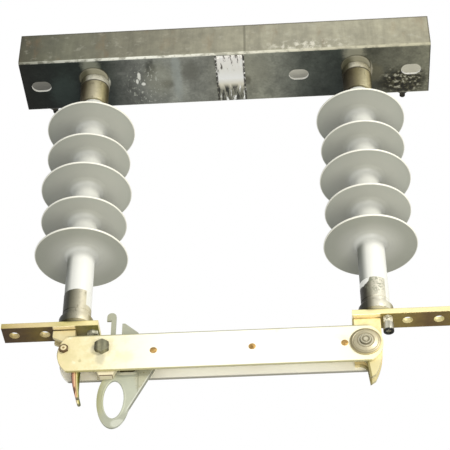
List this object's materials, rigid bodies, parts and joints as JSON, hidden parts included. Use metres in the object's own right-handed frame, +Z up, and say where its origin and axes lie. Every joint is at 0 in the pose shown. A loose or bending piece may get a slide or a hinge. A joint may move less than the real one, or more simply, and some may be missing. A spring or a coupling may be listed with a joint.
{
  "type": "disconnect switch",
  "caption": "Outdoor knife disconnect switch: slotted steel channel base, two ribbed insulators, terminal pads and a swinging twin-bar blade with a latch and pull ring",
  "frame": {"origin": "middle of the upper face of the base channel's web, where the base seats on its crossarm", "axes": "+Z up, away from the insulators; +X along the base to the hinge end; +Y to the back; the switch hangs below its base"},
  "size_m": [0.576, 0.1241, 0.6375],
  "materials": {
    "weathered_steel": "weathered, dull",
    "plate_aluminium": "worn satin",
    "cast_fitting": "dull galvanised",
    "silicone_rubber": "matt grey",
    "tinned_brass": "tin-washed copper alloy, satin",
    "copper_rivet": "satin",
    "zinc_steel": "zinc plated",
    "galvanised_latch": "galvanised"
  },
  "bodies": {
    "frame": {"base_channel": "weathered_steel", "nameplate": "plate_aluminium", "upper_collar_left": "cast_fitting", "upper_fitting_left": "cast_fitting", "insulator_housing_left": "silicone_rubber", "lower_fitting_left": "cast_fitting", "lower_collar_left": "cast_fitting", "insulator_bolt_left": "zinc_steel", "terminal_left": "tinned_brass", "earth_bolt_left": "zinc_steel", "upper_collar_right": "cast_fitting", "upper_fitting_right": "cast_fitting", "insulator_housing_right": "silicone_rubber", "lower_fitting_right": "cast_fitting", "lower_collar_right": "cast_fitting", "insulator_bolt_right": "zinc_steel", "terminal_right": "tinned_brass", "earth_bolt_right": "zinc_steel", "terminal_screw_left": "zinc_steel", "terminal_nut_right": "zinc_steel", "terminal_screw_right": "zinc_steel", "static_contact": "tinned_brass", "hinge_bracket": "tinned_brass"},
    "blade": {"blade_bar_front": "tinned_brass", "blade_bar_rear": "tinned_brass", "blade_rivets": "copper_rivet", "blade_spacers": "tinned_brass", "heel_rivets": "copper_rivet", "pivot_bolt": "zinc_steel", "pivot_washer_front": "zinc_steel", "pivot_washer_rear": "zinc_steel", "pivot_nut": "zinc_steel", "clamp_bolt": "zinc_steel", "clamp_nut": "zinc_steel", "clamp_blocks": "zinc_steel", "tip_bolt": "zinc_steel", "tip_sleeve": "zinc_steel"},
    "latch": {"latch_lever": "galvanised_latch"}
  },
  "joints": [
    {"name": "blade_swing", "type": "hinge", "parent": "frame", "child": "blade", "pos_m": [0.169, 0, -0.4835], "axis": [0, -1, 0], "range_deg": [0, 90]},
    {"name": "latch_swing", "type": "hinge", "parent": "blade", "child": "latch", "pos_m": [-0.1485, 0, -0.477], "axis": [0, 1, 0], "range_deg": [0, 12], "stiffness_Nm_per_rad": 0.18, "springref_deg": -34.38}
  ]
}
